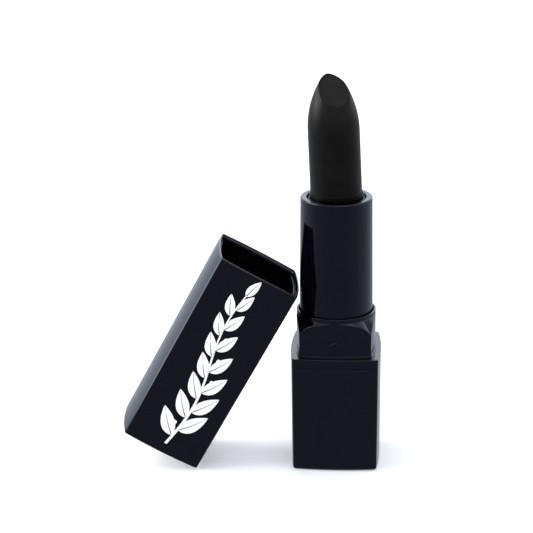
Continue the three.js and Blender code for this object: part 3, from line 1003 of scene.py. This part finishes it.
steel, shader = start_material("cut_steel", (0.5, 0.5, 0.48), 0.35, metallic=1.0)
vary_color(steel, noise(steel, 400), shader.inputs["Base Color"], (0.44, 0.44, 0.43), (0.55, 0.55, 0.53))
vary_number(steel, noise(steel, 900, stretch=(1, 30, 30)), shader.inputs["Roughness"], 0.28, 0.48)
lift(steel, shader, noise(steel, 1200, stretch=(1, 30, 30)), 0.01, 0.3)
tell(steel)

# %% [markdown]
# ## Dressing the pieces
# Every piece, fine or carried over from the frame, gets one of the finishes above.

# %% Assign finishes


def dress(piece, material):
    """Gives the whole piece one material."""
    piece.data.materials.clear()
    piece.data.materials.append(material)


nodes = frame["nodes"]
finishes = {
    gloss_black: [base_shell, collar, sleeve, cap_shell],
    # The two small discs on the snap buttons get satin black as painted shade for tiny pits.
    satin_black: [cup, cap_liner, pit_shade_discs, nodes["base_insert"], nodes["fork"]],
    wax: [bullet],
    ink: [ornament],
    natural: [nodes["spiral_cam"]],
    rubber: [nodes["drag_ring"]],
    steel: [nodes["base_weight"]],
}
for material, pieces in finishes.items():
    for piece in pieces:
        dress(piece, material)
    print(material.name, "on", ", ".join(piece.name for piece in pieces))

# %% [markdown]
# ## Floor
# The case stands on a plain pale floor. Gloss mirrors whatever is round it, so a studio hides the white
# table from the black plastic. Here the floor is simply kept out of mirror reflections, and the world's
# own shades are what the plastic shows. The floor glows faintly, like a light table, which keeps the
# shadows soft and pale.

# %% Floor
FLOOR_HALF = 4.0
FLOOR_DROP = 0.00002
FLOOR_CELLS = 8

bm = bmesh.new()
bmesh.ops.create_grid(bm, x_segments=FLOOR_CELLS, y_segments=FLOOR_CELLS, size=FLOOR_HALF)
bmesh.ops.translate(bm, vec=(0, 0, -FLOOR_DROP), verts=bm.verts)
floor_mesh = bpy.data.meshes.new("floor")
bm.to_mesh(floor_mesh)
bm.free()
floor = bpy.data.objects.new("floor", floor_mesh)
bpy.context.scene.collection.objects.link(floor)
floor.visible_glossy = False

pale, shader = start_material("pale_floor", (0.9, 0.9, 0.9), 0.6)
vary_color(pale, noise(pale, 12), shader.inputs["Base Color"], (0.89, 0.89, 0.89), (0.91, 0.91, 0.91))
shader.inputs["Specular IOR Level"].default_value = 0.1
shader.inputs["Emission Color"].default_value = (1.0, 1.0, 1.0, 1)
shader.inputs["Emission Strength"].default_value = 0.22
dress(floor, pale)
print(f"floor: {2 * FLOOR_HALF} m wide, {FLOOR_DROP / MM:.2f} mm below the foot")

# %% [markdown]
# ## World nodes
# The world gets its own node tree. Three small helpers build it: a row of shades, a spread of one range
# on to 0 to 1, and a mix of two colours. They are like the material helpers, but for the world's tree.

# %% World helpers
world = bpy.data.worlds.new("studio")
bpy.context.scene.world = world
world.use_nodes = True
tree = world.node_tree
background = tree.nodes["Background"]


def shade_ramp(value, stops):
    """A row of shades along a value from 0 to 1."""
    ramp = tree.nodes.new("ShaderNodeValToRGB")
    elements = ramp.color_ramp.elements
    while len(elements) < len(stops):
        elements.new(0.5)
    for element, (position, color) in zip(elements, stops):
        element.position = position
        element.color = (*color, 1)
    tree.links.new(value, ramp.inputs["Fac"])
    return ramp.outputs["Color"]


def ranged(value, low, high):
    """Spreads a value from low..high to 0..1."""
    spread = tree.nodes.new("ShaderNodeMapRange")
    spread.inputs["From Min"].default_value = low
    spread.inputs["From Max"].default_value = high
    tree.links.new(value, spread.inputs["Value"])
    return spread.outputs["Result"]


def mixed(share, first, second):
    """Goes from a first colour to a second one as the share goes from 0 to 1."""
    mix = tree.nodes.new("ShaderNodeMix")
    mix.data_type = "RGBA"
    tree.links.new(share, mix.inputs["Factor"])
    tree.links.new(first, mix.inputs["A"])
    tree.links.new(second, mix.inputs["B"])
    return mix.outputs["Result"]


print("world:", world.name)

# %% [markdown]
# ## Light
# The world is a soft studio: bright and faintly blue above, brightest behind, and darker low in front,
# where the camera stands. Its colour depends only on direction, so it lights the floor evenly. Its lower
# half is never seen directly, only as the reflection in the upright faces. Panels round the case would
# do the same, but a graded world is smoother and has no edges.

# %% World
# Each stop is a share of the way along, and a colour.
ABOVE_FRONT = [(0.0, (1.1, 1.17, 1.3)), (0.45, (1.0, 1.05, 1.15)), (1.0, (0.6, 0.6, 0.63))]
ABOVE_BACK = [(0.0, (1.7, 1.85, 2.1)), (0.45, (1.7, 1.8, 2.0)), (1.0, (0.6, 0.6, 0.63))]
BELOW = [
    (0.0, (0.27, 0.27, 0.33)),
    (0.25, (0.29, 0.3, 0.36)),
    (0.5, (0.45, 0.49, 0.58)),
    (0.85, (0.54, 0.6, 0.7)),
    (1.0, (0.47, 0.53, 0.62)),
]
BACK_RANGE = (0.1, 0.8)
HORIZON = (-0.06, 0.08)

where = tree.nodes.new("ShaderNodeTexCoord")
split = tree.nodes.new("ShaderNodeSeparateXYZ")
tree.links.new(where.outputs["Generated"], split.inputs["Vector"])
height = ranged(split.outputs["Z"], 0, 1)
behind = ranged(split.outputs["Y"], *BACK_RANGE)
sky = mixed(behind, shade_ramp(height, ABOVE_FRONT), shade_ramp(height, ABOVE_BACK))
ground = shade_ramp(ranged(split.outputs["Y"], -1, 1), BELOW)
studio = mixed(ranged(split.outputs["Z"], *HORIZON), ground, sky)
tree.links.new(studio, background.inputs["Color"])

print("shades above:", len(ABOVE_FRONT), "in front,", len(ABOVE_BACK), "behind; below:", len(BELOW))

# %% [markdown]
# ### Soft boxes
# A soft box is a lamp behind a white cloth, and an area light acts in the same way. One from the left
# gives the wax its sheen and lights the cap's side. One overhead picks out the shoulders.

# %% Soft boxes


def soft_box(name, place, aim, size, power):
    """A square area light at a place, turned towards a point."""
    data = bpy.data.lights.new(name, "AREA")
    data.shape = "SQUARE"
    data.size = size
    data.energy = power
    box = bpy.data.objects.new(name, data)
    bpy.context.scene.collection.objects.link(box)
    box.location = place
    box.rotation_euler = (Vector(aim) - Vector(place)).to_track_quat("-Z", "Y").to_euler()
    print(f"{name}: {size} m square, {power} W")


soft_box("left_box", (-0.55, 0.0, 0.32), (0, 0, 0.07), 0.5, 4.0)
soft_box("top_box", (0.1, -0.1, 0.9), (0, 0, 0.03), 0.6, 1.3)

# %% [markdown]
# ## Camera
# The camera stands half a metre in front and slightly above, with a long lens, as for a small product.
# A long lens keeps upright edges nearly parallel. The camera's three axes are worked out from its angles
# and written into one matrix, because a roll is awkward to set in any other way.

# %% Camera
AZIMUTH = math.radians(3.48)
ELEVATION = math.radians(17.86)
ROLL = math.radians(-0.46)
DISTANCE = 0.5
TARGET = Vector((-0.01649, 0, 0.04763))
LENS = 142.92
SENSOR = 36.0

camera_data = bpy.data.cameras.new("camera")
camera_data.lens = LENS
camera_data.sensor_width = SENSOR
camera_data.clip_start = 0.01
camera = bpy.data.objects.new("camera", camera_data)
bpy.context.scene.collection.objects.link(camera)
bpy.context.scene.camera = camera

back = Vector((
    math.sin(AZIMUTH) * math.cos(ELEVATION),
    -math.cos(AZIMUTH) * math.cos(ELEVATION),
    math.sin(ELEVATION),
))
right = (-back).cross(Vector((0, 0, 1))).normalized()
up = right.cross(-back)
across = math.cos(ROLL) * right + math.sin(ROLL) * up
upward = -math.sin(ROLL) * right + math.cos(ROLL) * up
turn = Matrix((across, upward, back)).transposed().to_4x4()
camera.matrix_world = Matrix.Translation(TARGET + back * DISTANCE) @ turn

bpy.context.scene.view_settings.view_transform = "Standard"
print("camera at, mm:", [round(v / MM, 1) for v in camera.matrix_world.translation])
